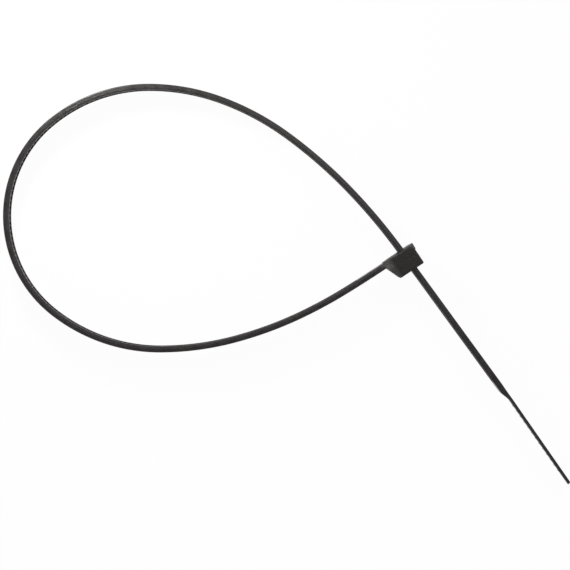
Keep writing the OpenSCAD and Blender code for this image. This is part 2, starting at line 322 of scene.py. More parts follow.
@dataclass(frozen=True)
class NylonFinish:
    """Black nylon as one kind of mould face leaves it.

    Attributes:
        color: The nylon's own colour.
        pale: The colour of its slow, slightly paler patches.
        roughness: Lowest and highest roughness over the surface.
        grain: How strong the mould's grain is.
        grain_scale: How fine the grain is, in waves for each millimetre.
        flow: How strong the lines along the flow are.
        gloss: Strength of the surface's own reflection, 0.5 for that of the solid.
        rubs: How much the hairline rubs show.
        dust: How much dust there is.
        relief: Height of the whole relief, in millimetres.
    """

    color: tuple[float, float, float]
    pale: tuple[float, float, float]
    roughness: tuple[float, float]
    grain: float
    grain_scale: float
    flow: float
    gloss: float
    rubs: float
    dust: float
    relief: float

    # Dust and rubs, and also the painted highlight spots, are tinted towards this colour.
    dust_and_highlight_color: ClassVar[tuple[float, float, float]] = (0.108, 0.1, 0.101)
    mark_roughness: ClassVar[float] = 0.3
    nylon_ior: ClassVar[float] = 1.53

    def material(self, effects: dict[str, bpy.types.NodeTree], dress: Dress) -> bpy.types.Material:
        """Builds the material.

        Args:
            effects: The shared node groups by name.
            dress: What the piece asks of it.

        Returns:
            The material.
        """
        made_of = bpy.data.materials.new(f"nylon_{dress.skin.value}{'_strap' if dress.follows else ''}")
        made_of.use_nodes = True
        tree = NodeTree(made_of.node_tree)
        if dress.follows:
            vector = tree.add("ShaderNodeAttribute", attribute_name=FLAT).outputs["Vector"]
        else:
            vector = tree.stretch(tree.add("ShaderNodeTexCoord").outputs["Object"], (1 / MM, 1 / MM, 1 / MM))
        given = {"Vector": vector, "Grain Scale": self.grain_scale, "Grain": self.grain, "Flow Lines": self.flow}
        skin = tree.add("ShaderNodeGroup", given, node_tree=effects["mould_skin"])
        given = {"Vector": vector, "Rubs": self.rubs, "Dust": self.dust}
        marks = tree.add("ShaderNodeGroup", given, node_tree=effects["handling_marks"])
        marks_and_highlights = tree.math("MAXIMUM", marks.outputs["Dust Mask"], marks.outputs["Rub Mask"])
        # Painted highlights: pale specks, mixed in with the dust and rubs, that stand in for light caught on sloped
        # and rounded faces.
        for spot in dress.painted_highlights:
            given = {"Vector": vector, "Centre": spot.centre, "Reach": spot.reach}
            highlight = tree.add("ShaderNodeGroup", given, node_tree=effects["painted_highlight_spot"])
            marks_and_highlights = tree.math("MAXIMUM", marks_and_highlights, tree.math("MULTIPLY", highlight.outputs["Mask"], spot.pale))

        patches = skin.outputs["Patches"]
        clean = tree.tint(patches, (*self.color, 1.0), (*self.pale, 1.0))
        rough = tree.span(patches, (0.0, 1.0), self.roughness)
        bump = tree.add(
            "ShaderNodeBump", {"Strength": 1.0, "Distance": self.relief * MM, "Height": skin.outputs["Height"]}
        )
        tree.feed(made_of.node_tree.nodes["Principled BSDF"], {
            "Base Color": tree.tint(marks_and_highlights, clean, (*self.dust_and_highlight_color, 1.0)),
            "Roughness": tree.math("ADD", rough, tree.math("MULTIPLY", marks_and_highlights, self.mark_roughness)),
            "Normal": bump.outputs["Normal"],
            "IOR": self.nylon_ior,
            "Specular IOR Level": self.gloss,
        })
        return made_of


FINISHES: dict[Skin, NylonFinish] = {
    Skin.DRAWN: NylonFinish(
        color=(0.0165, 0.0132, 0.014), pale=(0.02, 0.0172, 0.0176), roughness=(0.31, 0.45),
        grain=0.25, grain_scale=7.0, flow=0.5, gloss=0.4, rubs=0.5, dust=0.35, relief=0.012,
    ),
    Skin.SPARKED: NylonFinish(
        color=(0.0132, 0.0092, 0.01), pale=(0.0156, 0.0112, 0.012), roughness=(0.46, 0.56),
        grain=0.8, grain_scale=9.0, flow=0.1, gloss=0.3, rubs=0.35, dust=0.35, relief=0.016,
    ),
    Skin.TORN: NylonFinish(
        color=(0.036, 0.034, 0.034), pale=(0.085, 0.082, 0.08), roughness=(0.5, 0.65),
        grain=1.0, grain_scale=5.0, flow=0.2, gloss=0.4, rubs=0.2, dust=0.2, relief=0.03,
    ),
}


@dataclass
class FinishShelf:
    """Makes each material once, when a piece first asks for it."""

    effects: dict[str, bpy.types.NodeTree] = field(default_factory=dict)
    made: dict[Dress, bpy.types.Material] = field(default_factory=dict)

    def take(self, dress: Dress) -> bpy.types.Material:
        """The material that a piece asks for.

        Args:
            dress: What the piece asks.

        Returns:
            The material.
        """
        if not self.effects:
            self.effects = {
                "mould_skin": mould_skin_group(),
                "handling_marks": handling_group(),
                "painted_highlight_spot": painted_highlight_spot_group(),
            }
        if dress not in self.made:
            self.made[dress] = FINISHES[dress.skin].material(self.effects, dress)
        return self.made[dress]


@dataclass(frozen=True)
class Stretch:
    """One arc or straight of the route.

    Attributes:
        start: Where it begins.
        heading: Its direction there, in radians.
        length: Its length along the curve.
        turn: How far it turns, in radians, to the left.
    """

    start: Vector
    heading: float
    length: float
    turn: float

    @classmethod
    def arc_to(cls, start: Vector, heading: float, end: Vector) -> "Stretch":
        """An arc, or a straight where it doesn't turn.

        Args:
            start: Where it begins.
            heading: Its direction there, in radians.
            end: Where it ends.

        Returns:
            The stretch.
        """
        way = end - start
        half = math.atan2(left_of(heading).dot(way), heading_vector(heading).dot(way))
        length = way.length if abs(half) < 1e-6 else way.length * half / math.sin(half)
        return cls(start, heading, length, 2 * half)

    def place(self, run: float) -> tuple[Vector, float]:
        """A place on the stretch, or straight back from its start.

        Args:
            run: How far along it the place is, less than 0 for back from its start.

        Returns:
            The point and the heading there.
        """
        half = self.turn * run / self.length / 2 if run > 0 else 0.0
        chord = run if abs(half) < 1e-8 else run * math.sin(half) / half
        return self.start + chord * heading_vector(self.heading + half), self.heading + 2 * half


@dataclass
class Route:
    """The way that the middle of the strap takes, with the mouth of the slot at the plan's origin.

    The sizes have the names and values of the part's own source.
    """

    strap_t: float = 1.37
    loop_len: float = 90.1
    loop_wid: float = 59.9
    loop_rise: float = 37.4
    far_rise: float = 8.0
    lowest: float = 0.611
    highest: float = 0.639
    lower_lean: float = 26.0
    upper_lean: float = 36.0
    lower_share: tuple[float, float] = (0.244, 0.635)
    upper_share: tuple[float, float] = (0.29, 0.709)
    head_turn: float = 33.7
    head_len: float = 6.38
    head_depth: float = 5.06
    slope_len: float = 1.35
    root_step: float = 0.12
    slot_lean: float = 2.4
    end_wall: float = 1.75
    back_clear: float = 0.12
    free_len: float = 32.5
    shoulder_len: float = 4.9
    tail_len: float = 23.3
    tail_bend: float = 1.23
    stretches: list[Stretch] = field(default_factory=list, init=False)
    starts: list[float] = field(default_factory=list, init=False)

    def __post_init__(self) -> None:
        """Chains the arcs and straights from the strap's root to its tip."""
        self.face = self.strap_t / 2
        self.turn = math.radians(self.head_turn)
        self.slot_heading = math.radians(self.head_turn - 90 + self.slot_lean)
        lean = math.tan(math.radians(self.slot_lean))
        self.end_x = self.face + self.back_clear + self.end_wall + self.head_depth * lean
        self.outer_x = self.end_x - self.head_len
        self.root_x = self.outer_x - self.slope_len

        fall = self.loop_rise - self.loop_wid
        root = heading_vector(self.turn) * self.root_x - left_of(self.turn) * (self.face + self.root_step)
        knots = [
            (root, 180 + self.head_turn),
            (Vector((-self.lower_share[0] * self.loop_len, self.lower_share[1] * fall)), 180 + self.lower_lean),
            (Vector((-self.lowest * self.loop_len, fall)), 180),
            (Vector((-self.loop_len, self.far_rise)), 90),
            (Vector((-self.highest * self.loop_len, self.loop_rise)), 0),
            (Vector((-self.upper_share[0] * self.loop_len, self.upper_share[1] * self.loop_rise)), -self.upper_lean),
            (Vector((0.0, 0.0)), math.degrees(self.slot_heading)),
        ]
        for (start, leaving), (end, arriving) in zip(knots, knots[1:]):
            meet = self.meeting(start, math.radians(leaving), end, math.radians(arriving))
            first = Stretch.arc_to(start, math.radians(leaving), meet)
            self.stretches += [first, Stretch.arc_to(meet, first.heading + first.turn, end)]
        straight = self.head_depth + self.free_len + self.shoulder_len
        tail_start = straight * heading_vector(self.slot_heading)
        tail_heading = self.slot_heading - math.radians(self.tail_bend)
        self.stretches += [
            Stretch(Vector((0.0, 0.0)), self.slot_heading, straight, 0.0),
            Stretch(tail_start, tail_heading, self.tail_len, 0.0),
        ]
        total = 0.0
        for stretch in self.stretches:
            self.starts.append(total)
            total += stretch.length
        self.slot_s = self.starts[-2]
        self.shoulder_s = self.slot_s + self.head_depth + self.free_len
        self.tail_s = self.shoulder_s + self.shoulder_len
        self.tip_s = self.tail_s + self.tail_len

    @staticmethod
    def meeting(start: Vector, leaving: float, end: Vector, arriving: float) -> Vector:
        """The point where two tangent arcs between two knots meet.

        Args:
            start: The first knot.
            leaving: The heading at the first knot.
            end: The second knot.
            arriving: The heading at the second knot.

        Returns:
            The point.
        """
        out, back = heading_vector(leaving), heading_vector(arriving)
        way, gap = end - start, 2 * (1 - out.dot(back))
        along = way.dot(out + back)
        reach = (math.sqrt(along * along + gap * way.dot(way)) - along) / gap
        return (start + end + reach * (out - back)) / 2

    def beside(self, s: float, a: float) -> Vector:
        """A point beside the route.

        Args:
            s: Length along the route.
            a: Offset towards the inside of the loop.

        Returns:
            The point in the plan.
        """
        i = max(bisect_right(self.starts, s) - 1, 0)
        point, heading = self.stretches[i].place(s - self.starts[i])
        return point - a * left_of(heading)


@dataclass
class Seat:
    """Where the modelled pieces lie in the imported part's frame.

    Attributes:
        route: The strap's route.
        offset: What brings the slot's mouth from the origin to its place, in millimetres.
    """

    route: Route
    offset: Vector = field(init=False)

    def __post_init__(self) -> None:
        """Reads the place from the CAD node's box."""
        low, high = (Vector(corner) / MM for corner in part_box(NODE))
        self.offset = Vector((
            low.x + self.route.loop_len + self.route.face,
            high.y - self.route.loop_rise - self.route.face,
            (low.z + high.z) / 2,
        ))

    def bend(self, bm: Mesh) -> None:
        """Bends a flat length of strap along the route, and keeps its flat coordinates for its finish.

        The toothed face is to the right of the route, which mirrors the strap, so its faces are turned back.

        Args:
            bm: The flat strap.
        """
        flat = bm.verts.layers.float_vector.new(FLAT)
        for vert in bm.verts:
            vert[flat] = vert.co
            plan = self.route.beside(vert.co.x, vert.co.y)
            vert.co = (plan.x, plan.y, vert.co.z)
        bmesh.ops.reverse_faces(bm, faces=bm.faces)
        self.settle(bm)

    def head_point(self, point: Vector) -> tuple[float, float, float]:
        """A point of the head, given in its own axes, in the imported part's frame, in millimetres."""
        return tuple(Matrix.Rotation(self.route.turn, 3, "Z") @ point + self.offset)

    def turn_head(self, bm: Mesh) -> None:
        """Turns a piece from the head's own axes into the plan."""
        bmesh.ops.rotate(bm, verts=bm.verts, cent=(0, 0, 0), matrix=Matrix.Rotation(self.route.turn, 3, "Z"))
        self.settle(bm)

    def settle(self, bm: Mesh) -> None:
        """Moves a piece to its place and brings it to metres."""
        bmesh.ops.translate(bm, verts=bm.verts, vec=self.offset)
        bmesh.ops.scale(bm, verts=bm.verts, vec=(MM, MM, MM))


def finish_mesh(bm: Mesh, merge: float) -> None:
    """Closes a modelled piece: merges doubles, drops slivers and turns its faces outwards.

    Args:
        bm: The piece.
        merge: How far apart doubles may be.
    """
    bmesh.ops.remove_doubles(bm, verts=bm.verts, dist=merge)
    bmesh.ops.dissolve_degenerate(bm, dist=merge, edges=bm.edges)
    bmesh.ops.recalc_face_normals(bm, faces=bm.faces)


def even_normals(bm: Mesh, sharp: float) -> list[Vector]:
    """A normal for each corner of each face, by the area of the smooth faces round it.

    Flats then look flat right up to the small rounds beside them.

    Args:
        bm: The finished piece.
        sharp: The angle past which an edge stays sharp, in degrees.

    Returns:
        The normals, face by face and corner by corner.
    """
    bm.normal_update()
    limit = math.cos(math.radians(sharp))
    weighted = {face: (face.normal.copy(), face.normal * (face.calc_area() / MM**2)) for face in bm.faces}
    normals = []
    for face in bm.faces:
        own = weighted[face][0]
        for vert in face.verts:
            total = Vector()
            for other in vert.link_faces:
                normal, share = weighted[other]
                if normal.dot(own) > limit:
                    total += share
            normals.append(total.normalized() if total.length > 0 else own)
    return normals


def make_object(bm: Mesh, name: str, sharp: float) -> bpy.types.Object:
    """Makes an object of a finished piece, smooth but for its sharp edges.

    Args:
        bm: The piece, in its place and in metres. It is freed.
        name: The object's name.
        sharp: The angle past which an edge stays sharp, in degrees.

    Returns:
        The object, linked to the scene.
    """
    normals = even_normals(bm, sharp)
    mesh = bpy.data.meshes.new(name)
    bm.to_mesh(mesh)
    bm.free()
    mesh.shade_smooth()
    mesh.set_sharp_from_angle(angle=math.radians(sharp))
    mesh.normals_split_custom_set(normals)
    obj = bpy.data.objects.new(name, mesh)
    bpy.context.scene.collection.objects.link(obj)
    return obj


def extruded(outline: list[tuple[float, float]], width: float) -> Mesh:
    """A prism about z = 0.

    Args:
        outline: Its corners in the plan.
        width: Its width across the plan.

    Returns:
        The closed prism.
    """
    bm = bmesh.new()
    face = bm.faces.new([bm.verts.new((x, y, -width / 2)) for x, y in outline])
    risen = bmesh.ops.extrude_face_region(bm, geom=[face])["geom"]
    bmesh.ops.translate(bm, verts=only(Vert, risen), vec=(0, 0, width))
    bmesh.ops.recalc_face_normals(bm, faces=bm.faces)
    return bm


def round_edges(bm: Mesh, radius: float, segments: int) -> None:
    """Rounds every edge of a piece."""
    bmesh.ops.bevel(
        bm, geom=bm.edges[:], offset=radius, segments=segments, profile=0.5, affect="EDGES", material=-1
    )


def evaluated(obj: bpy.types.Object) -> Mesh:
    """Applies an object's modifiers.

    Args:
        obj: The object. It is removed.

    Returns:
        Its mesh, with the modifiers applied.
    """
    bpy.context.view_layer.update()
    mesh = bpy.data.meshes.new_from_object(obj.evaluated_get(bpy.context.evaluated_depsgraph_get()))
    bm = bmesh.new()
    bm.from_mesh(mesh)
    bpy.data.meshes.remove(mesh)
    bpy.data.objects.remove(obj)
    return bm


@dataclass
class Ring:
    """The open end of a length that grows ring by ring.

    Attributes:
        bm: The mesh that it grows in.
        edges: The edges of its last ring.
    """

    bm: Mesh
    edges: list[Edge]

    @classmethod
    def start(cls, bm: Mesh, points: list[Vector]) -> "Ring":
        """Makes the first ring.

        Args:
            bm: The mesh that it grows in.
            points: The ring's points in order.

        Returns:
            The ring.
        """
        order = bm.verts.layers.int.get("order") or bm.verts.layers.int.new("order")
        verts = [bm.verts.new(point) for point in points]
        for i, vert in enumerate(verts):
            vert[order] = i
        return cls(bm, [bm.edges.new((a, b)) for a, b in zip(verts, verts[1:] + verts[:1])])

    def grow(self, points: list[Vector]) -> None:
        """Extrudes the last ring and moves its points.

        Args:
            points: Where they go, in the order of the first ring's.
        """
        order = self.bm.verts.layers.int["order"]
        grown = bmesh.ops.extrude_edge_only(self.bm, edges=self.edges)["geom"]
        verts = set(only(Vert, grown))
        for vert in verts:
            vert.co = points[vert[order]]
        self.edges = [edge for edge in only(Edge, grown) if set(edge.verts) <= verts]

    def close(self) -> None:
        """Caps the last ring."""
        bmesh.ops.contextual_create(self.bm, geom=self.edges)

    @classmethod
    def sweep(cls, bm: Mesh, rings: list[list[Vector]]) -> tuple["Ring", "Ring"]:
        """Grows a whole length.

        Args:
            bm: The mesh that it grows in.
            rings: The points of each ring.

        Returns:
            Its first and its last ring.
        """
        last = cls.start(bm, rings[0])
        first = cls(bm, last.edges)
        for points in rings[1:]:
            last.grow(points)
        return first, last


class Part:
    """A part of the moulding: its name, and the angle in degrees past which its edges stay sharp."""

    name: ClassVar[str]
    sharp: ClassVar[float] = 34.0

    def model(self) -> Mesh:
        """Models the part in its own axes, in millimetres."""
        raise NotImplementedError

    def dress(self, seat: Seat) -> Dress:
        """What the part asks of its material, when the tie lies in its seat."""
        raise NotImplementedError

    def place(self, bm: Mesh, seat: Seat) -> None:
        """Brings the model to its place. A part of the head turns with it."""
        seat.turn_head(bm)

    def build(self, seat: Seat, shelf: FinishShelf) -> bpy.types.Object:
        """Models the part, places it and dresses it.

        Args:
            seat: Where the tie lies.
            shelf: Where its material comes from.

        Returns:
            Its object.
        """
        bm = self.model()
        self.place(bm, seat)
        obj = make_object(bm, self.name, self.sharp)
        obj.data.materials.append(shelf.take(self.dress(seat)))
        return obj


@dataclass(frozen=True)
class Section:
    """The strap's section at one station.

    Attributes:
        back: Offset of the back.
        face: Offset of the toothed face, over the rails.
        half_width: Half the width at the parting line.
        floor: Offset of the face between the rails, which teeth and ridges raise.
        half_track: Half the width between the rails.
    """

    back: float
    face: float
    half_width: float
    floor: float
    half_track: float

    def upper(self, strap: "Strap") -> list[tuple[float, float]]:
        """The upper half of the outline, from the back to the middle of the face.

        Args:
            strap: The strap, for its small edges and lines.

        Returns:
            Each point's offset and height.
        """
        share = (self.face - self.back) / strap.route.strap_t
        mid = blend(self.back, self.face, strap.parting_share)
        slant = math.tan(math.radians(strap.edge_draft))
        chamfer, rail = strap.back_chamfer * share, strap.rail_chamfer * share
        line = strap.parting_w * share / 2

        def side(a: float) -> float:
            """The half width at an offset."""
            return self.half_width - abs(a - mid) * slant

        points = [
            (self.back + down, side(self.back + chamfer) - inside)
            for down, inside in quarter(chamfer, (90, 60, 30, 0))
        ]
        points += [
            (mid - line, side(mid - line)),
            (mid, self.half_width + strap.parting_h),
            (mid + line, side(mid + line)),
        ]
        points += [
            (self.face - down, side(self.face - rail) - inside)
            for down, inside in quarter(rail, (0, 45, 90))
        ]
        rise = self.floor - self.face
        ease = math.copysign(min(strap.track_r, abs(rise) / 2), rise)
        points += [
            (self.face, self.half_track + strap.track_r),
            (self.face + ease, self.half_track),
            (self.floor - ease, self.half_track),
            (self.floor, self.half_track - strap.track_r),
        ]
        return points

    def ring(self, strap: "Strap", s: float) -> list[Vector]:
        """The whole outline at a length s along the flat strap."""
        upper = self.upper(strap)
        return [Vector((s, a, z)) for a, z in upper] + [Vector((s, a, -z)) for a, z in reversed(upper)]


@dataclass
class Strap(Part):
    """The strap, from its root in the head round the loop to the tip of its tail.

    The sizes down to narrow_share have the names and values of the part's own source. The rest are small
    edges and lines that the source leaves to this script, and how close the rings of the mesh are.
    """

    name = "strap"
    route: Route
    strap_w: float = 4.8
    web_t: float = 0.7
    rail_w: float = 0.8
    edge_draft: float = 3.0
    back_chamfer: float = 0.24
    rail_chamfer: float = 0.1
    tooth_pitch: float = 1.184
    tooth_h: float = 0.52
    crest: float = 0.14
    root_flat: float = 0.12
    locking_lean: float = 0.05
    neck_len: float = 7.0
    track_end: float = 0.6
    pawl_start: float = 1.9
    tail_t: float = 0.7
    tail_w: float = 2.9
    tip_w: float = 2.3
    tip_r: float = 0.7
    tail_step: float = 0.04
    grip_pitch: float = 1.5
    grip_h: float = 0.1
    grip_foot: float = 0.5
    grip_crest: float = 0.2
    grip_inset: float = 0.25
    plain_tip: float = 2.5
    root_run: float = 0.8
    thick_share: float = 0.35
    narrow_share: float = 0.7
    parting_share: float = 0.6
    parting_w: float = 0.09
    parting_h: float = 0.02
    track_r: float = 0.05
    tooth_r: float = 0.035
    track_ramp: tuple[tuple[float, float], ...] = ((0.12, 0.12), (0.46, 0.85))
    tip_inset: float = 0.2
    neck_gap: float = 0.5
    tail_gap: float = 0.2
    least_gap: float = 0.1
    merge: float = 2e-4

    def __post_init__(self) -> None:
        """Works out the offsets across the strap and the run of teeth."""
        self.face = self.route.face
        self.root_a = self.web_t - self.face
        self.half_track = self.strap_w / 2 - self.rail_w
        first_lock = self.route.slot_s + self.pawl_start + self.tooth_pitch
        before = math.floor((first_lock - self.neck_len) / self.tooth_pitch)
        self.teeth_start = first_lock - before * self.tooth_pitch
        self.teeth_n = math.floor((self.route.shoulder_s - self.track_end - self.teeth_start) / self.tooth_pitch)
        self.teeth_end = self.teeth_start + self.teeth_n * self.tooth_pitch

    def section(self, s: float, rise: float = 0.0) -> Section:
        """The section at a station.

        Args:
            s: Length along the strap.
            rise: How far the face between the rails is raised, or lowered where it is negative.

        Returns:
            The section.
        """
        route = self.route
        down = (s - route.shoulder_s) / route.shoulder_len
        thin = smooth((down - self.thick_share) / (1 - self.thick_share))
        face = blend(self.face, self.tail_t - self.face + self.tail_step, thin)
        back = -self.face + self.tail_step * smooth(down)
        narrow = blend(self.tail_w, self.tip_w, max((s - route.tail_s) / route.tail_len, 0.0))
        to_tip = min(max(s - route.tip_s + self.tip_r, 0.0), self.tip_r)
        width = blend(self.strap_w, narrow, smooth(down / self.narrow_share))
        half = width / 2 - self.tip_r + math.sqrt(self.tip_r**2 - to_tip**2)
        track = blend(self.half_track, narrow / 2 - self.grip_inset, smooth(down / self.narrow_share))
        return Section(back, face, half, face + rise, min(track, half - self.tip_inset))

    def sweep(self, bm: Mesh, stations: list[tuple[float, float]]) -> tuple[Ring, Ring]:
        """Grows a length of strap.

        Args:
            bm: The mesh that it grows in.
            stations: Each station's length along the strap and its rise between the rails.

        Returns:
            Its first and its last ring.
        """
        return Ring.sweep(bm, [self.section(s, rise).ring(self, s) for s, rise in stations])

    def tooth_stations(self) -> list[tuple[float, float]]:
        """The stations of one tooth, from the foot of its locking face to that of the next.

        Returns:
            Each station's length along the strap and its rise between the rails.
        """
        deep, r = self.root_a - self.face, self.tooth_r
        top = self.locking_lean + self.crest
        ramp_end = self.tooth_pitch - self.root_flat
        profile = [
            (-r, 0.0),
            (0.1 * self.locking_lean, 0.07),
            (0.85 * self.locking_lean, 0.92),
            (self.locking_lean + r, 1.0),
            (top - r, 1.0),
            (top + r, 0.95),
            (ramp_end - r, 0.06),
            (ramp_end + r, 0.0),
            (self.tooth_pitch - r, 0.0),
        ]
        return [(self.teeth_start + run, deep + share * self.tooth_h) for run, share in profile]

    def neck_stations(self) -> list[tuple[float, float]]:
        """The stations of the smooth neck and of the end of the track by it.

        Returns:
            Each station's length along the strap and its rise between the rails.
        """
        deep, edge = self.root_a - self.face, self.teeth_start - self.track_end
        stations = [(s, 0.0) for s in spread(-self.root_run, edge, self.neck_gap)]
        stations += [(edge + run, share * deep) for run, share in self.track_ramp]
        return stations + [(self.teeth_start - self.tooth_r, deep)]

    def end_stations(self) -> list[tuple[float, float]]:
        """The stations past the last tooth: the end of the track, the shoulder, the tail and its tip.

        Returns:
            Each station's length along the strap and its rise between the rails.
        """
        route, deep, edge = self.route, self.root_a - self.face, self.teeth_end + self.track_end
        stations = [(self.teeth_end - self.tooth_r, deep)]
        stations += [(edge - run, share * deep) for run, share in reversed(self.track_ramp)]
        shoulder = max(route.shoulder_s, edge + self.least_gap)
        stations += [(s, 0.0) for s in (edge, *spread(shoulder, route.tail_s, self.tail_gap))]
        foot, flat = self.grip_foot / 2, self.grip_crest / 2
        ridge = [(-foot, 0.0), (-foot * 0.7, 0.35), (-flat, 0.9), (-flat * 0.4, 1.0)]
        ridge += [(-run, share) for run, share in reversed(ridge)]
        s = route.tail_s + self.grip_pitch
        while s <= route.tip_s - self.plain_tip:
            stations += [(s + run, share * self.grip_h) for run, share in ridge]
            s += self.grip_pitch
        return stations + [(route.tip_s - down, 0.0) for down, _ in quarter(self.tip_r, range(0, 91, 10))]

    def model(self) -> Mesh:
        """Models the strap flat: the neck, the tail end and a row of copies of one tooth between them.

        Returns:
            The closed strap.
        """
        bm = bmesh.new()
        root, _ = self.sweep(bm, self.neck_stations())
        root.close()
        _, tip = self.sweep(bm, self.end_stations())
        tip.close()
        before = set(bm.faces)
        self.sweep(bm, self.tooth_stations())
        tooth = [face for face in bm.faces if face not in before]
        for i in range(1, self.teeth_n):
            verts = only(Vert, bmesh.ops.duplicate(bm, geom=tooth)["geom"])
            bmesh.ops.translate(bm, verts=verts, vec=(i * self.tooth_pitch, 0, 0))
        finish_mesh(bm, self.merge)
        return bm

    def place(self, bm: Mesh, seat: Seat) -> None:
        """Bends the strap along its route."""
        seat.bend(bm)

    def dress(self, seat: Seat) -> Dress:
        """Polished, drawn faces, with a painted highlight by the root."""
        by_root = (0.0, 0.3 * self.face, self.strap_w / 2)
        # The pale specks by the root are a painted highlight, for light caught where the strap meets the head.
        return Dress(Skin.DRAWN, follows=True, painted_highlights=(PaintedHighlightSpot(by_root, reach=1.5, pale=0.6),))


@dataclass
class Head(Part):
    """The head with its slot, in its own axes: x from the strap's root to its end, y towards the bundle.

    The sizes down to lead_in have the names and values of the part's own source. The rest are small radii,
    the slot cutter's reach past the head, its least step, and the middle of each painted highlight.
    """

    name = "head"
    sharp = 40.0
    route: Route
    strap_w: float = 4.8
    head_w: float = 8.0
    taper_len: float = 2.1
    corner_r: float = 0.3
    edge_r: float = 0.5
    side_clear: float = 0.25
    rail_clear: float = 0.16
    lip: float = 0.85
    hinge_t: float = 0.55
    hinge_gap: float = 0.15
    pawl_t: float = 1.05
    pawl_gap: float = 0.62
    cavity_taper: float = 0.7
    lead_in: float = 0.35
    exit_r: float = 0.12
    slot_r: float = 0.2
    slope_r: float = 0.12
    root_r: float = 0.05
    bevel_segments: int = 5
    past: float = 1.0
    least_step: float = 0.002
    merge: float = 1e-4
    # Middles of the painted highlights on the taper and by the gate: pale specks for light that these faces catch.
    taper_highlight: tuple[float, float, float] = (0.55, -1.35, -1.1)
    gate_highlight: tuple[float, float, float] = (-0.3, -0.25, 0.0)

    def body(self) -> Mesh:
        """Models the head without its slot: a prism, with its root's end tapered in width.

        Returns:
            The body, with the bevel of each edge on it as a share of the largest.
        """
        route = self.route
        depth, root_depth = route.head_depth, route.strap_t + 2 * route.root_step
        bm = extruded(
            [
                (route.root_x, 0.0),
                (route.root_x, -root_depth),
                (route.outer_x, -depth),
                (route.end_x, -depth),
                (route.end_x, 0.0),
            ],
            self.head_w,
        )
        neck_w = self.strap_w + 2 * route.root_step
        for way in (1, -1):
            cut = bmesh.ops.bisect_plane(
                bm,
                geom=bm.verts[:] + bm.edges[:] + bm.faces[:],
                plane_co=(route.root_x, 0, way * neck_w / 2),
                plane_no=(-(self.head_w - neck_w) / 2, 0, way * self.taper_len),
                clear_outer=True,
            )["geom_cut"]
            bmesh.ops.contextual_create(bm, geom=only(Edge, cut))
        bmesh.ops.recalc_face_normals(bm, faces=bm.faces)
        weight = bm.edges.layers.float.new("bevel_weight_edge")
        for edge in bm.edges:
            edge[weight] = self.edge_width(edge) / self.edge_r
        return bm

    def edge_width(self, edge: Edge) -> float:
        """The bevel that an edge of the plain body gets, by where it lies.

        Args:
            edge: The edge.

        Returns:
            The bevel's width.
        """
        a, b = (vert.co for vert in edge.verts)
        near = 1e-4
        if max(a.x, b.x) < self.route.root_x + near:
            return self.root_r
        if abs(a.x - b.x) < near and abs(a.y - b.y) < near:
            return self.slope_r if abs(a.x - self.route.outer_x) < near else self.corner_r
        flat = min(abs(a.z), abs(b.z)) > self.head_w / 2 - near
        return self.edge_r if flat else self.corner_r

    def slot_cutter(self) -> Mesh:
        """Models what is cut out for the strap and the pawl: a ring with round corners, grown through the head.

        Returns:
            The closed cutter.
        """
        route = self.route
        back, front = -self.route.face - route.back_clear, self.route.face + self.rail_clear
        cavity = front + self.pawl_t + self.pawl_gap
        behind_hinge = front + self.hinge_t + self.hinge_gap
        half = self.strap_w / 2 + self.side_clear
        depth = route.head_depth
        stations = [(-self.past, self.lead_in, front)]
        stations += [(down, grow, front) for grow, down in quarter(self.lead_in, (0, 22.5, 45, 67.5, 90))]
        stations += [
            (self.lip, 0.0, front),
            (self.lip + self.least_step, 0.0, behind_hinge),
            (self.lip + self.cavity_taper, 0.0, cavity),
        ]
        stations += [(depth - up, grow, cavity) for grow, up in quarter(self.exit_r, (90, 60, 30, 0))]
        stations += [(depth + self.past, self.exit_r, cavity)]
        bm = bmesh.new()
        for end in Ring.sweep(
            bm, [self.slot_ring(down, back - grow, wide + grow, half + grow) for down, grow, wide in stations]
        ):
            end.close()
        bmesh.ops.recalc_face_normals(bm, faces=bm.faces)
        return bm

    def slot_ring(self, down: float, back: float, front: float, half: float) -> list[Vector]:
        """One ring of the slot, in the head's axes.

        Args:
            down: Depth from the bundle face.
            back: Offset of the wall behind the strap.
            front: Offset of the wall on the toothed side.
            half: Half the width of the slot.

        Returns:
            Its points, with round corners.
        """
        lean = math.tan(math.radians(self.route.slot_lean))
        points = []
        corners = ((front, 1, 1), (back, -1, 1), (back, -1, -1), (front, 1, -1))
        for i, (a, way, up) in enumerate(corners):
            for turn in (0, 45, 90):
                angle = math.radians(90 * i + turn)
                across = a - way * self.slot_r + self.slot_r * math.cos(angle)
                height = up * (half - self.slot_r) + self.slot_r * math.sin(angle)
                points.append(Vector((down * lean - across, -down, height)))
        return points

    def model(self) -> Mesh:
        """Models the head, bevels it and cuts its slot.

        Returns:
            The closed head.
        """
        cutter = make_object(self.slot_cutter(), "slot_cutter", self.sharp)
        blank = make_object(self.body(), "head_blank", self.sharp)
        bevel = blank.modifiers.new("edges", "BEVEL")
        bevel.limit_method = "WEIGHT"
        bevel.width = self.edge_r
        bevel.segments = self.bevel_segments
        slot = blank.modifiers.new("slot", "BOOLEAN")
        slot.operation = "DIFFERENCE"
        slot.solver = "EXACT"
        slot.object = cutter
        bm = evaluated(blank)
        bpy.data.objects.remove(cutter)
        finish_mesh(bm, self.merge)
        bmesh.ops.triangulate(bm, faces=[face for face in bm.faces if len(face.verts) > 4])
        return bm

    def dress(self, seat: Seat) -> Dress:
        """Spark-eroded faces, with painted highlights on the taper and by the gate.

        Args:
            seat: Where the tie lies.

        Returns:
            What the head asks of its material.
        """
        top = Vector((0, 0, self.head_w / 2))
        taper = seat.head_point(Vector((self.route.root_x, 0, 0)) + top + Vector(self.taper_highlight))
        gate = seat.head_point(Vector((self.route.end_x, 0, 0)) + top + Vector(self.gate_highlight))
        # Pale specks painted on the taper and by the gate stand in for the light that these faces catch.
        painted_highlights = (PaintedHighlightSpot(taper, reach=2.6, pale=0.9), PaintedHighlightSpot(gate, reach=1.3, pale=0.6))
        return Dress(Skin.SPARKED, painted_highlights=painted_highlights)


